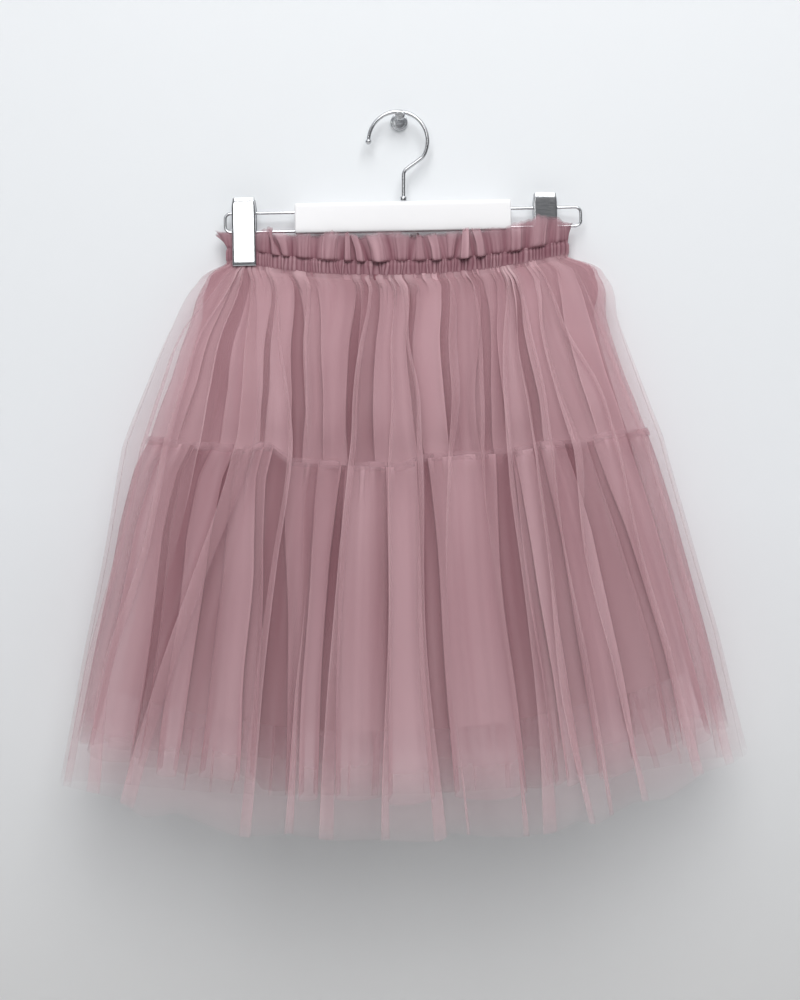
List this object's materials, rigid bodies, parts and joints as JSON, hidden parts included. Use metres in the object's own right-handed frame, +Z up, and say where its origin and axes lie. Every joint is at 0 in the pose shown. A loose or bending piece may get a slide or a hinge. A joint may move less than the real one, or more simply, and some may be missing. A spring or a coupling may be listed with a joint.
{
  "type": "tiered tulle skirt on a clip hanger with its wall hook",
  "caption": "Gathered, tiered net skirt with an elastic waist, lining and long sheer overlay, hung on a clip hanger from a small round wall hook.",
  "frame": {"origin": "middle of the wall hook's round plate, on its back face, where the hook is fixed to the wall", "axes": "+Y into the wall, +Z up, +X to the right as seen by someone facing the wall; the skirt hangs on the -Y side"},
  "size_m": [0.6124, 0.1875, 0.647],
  "materials": {
    "chrome_plated_steel": "bright chrome plating",
    "white_lacquer": "smooth white lacquer",
    "sheer_net": "very sheer soft tulle",
    "tier_net": "soft tulle, gathered in tiers",
    "gathered_net": "tulle gathered tightly over elastic",
    "lining_satin": "plain satin lining"
  },
  "bodies": {
    "root": {"wall_hook": "chrome_plated_steel", "hanger_hook": "chrome_plated_steel", "hanger_bar": "white_lacquer", "wire_loop_left": "chrome_plated_steel", "wire_loop_right": "chrome_plated_steel", "clip_left": "chrome_plated_steel", "clip_right": "chrome_plated_steel", "waist_frill_front": "gathered_net", "waist_frill_back": "gathered_net", "waistband_front": "gathered_net", "waistband_back": "gathered_net", "lining_front": "lining_satin", "lining_back": "lining_satin", "upper_tier_front": "tier_net", "upper_tier_back": "tier_net", "tier_seam_tape_front": "gathered_net", "tier_seam_tape_back": "gathered_net", "lower_tier_front": "tier_net", "lower_tier_back": "tier_net", "overlay_front": "sheer_net", "overlay_back": "sheer_net"}
  },
  "joints": []
}
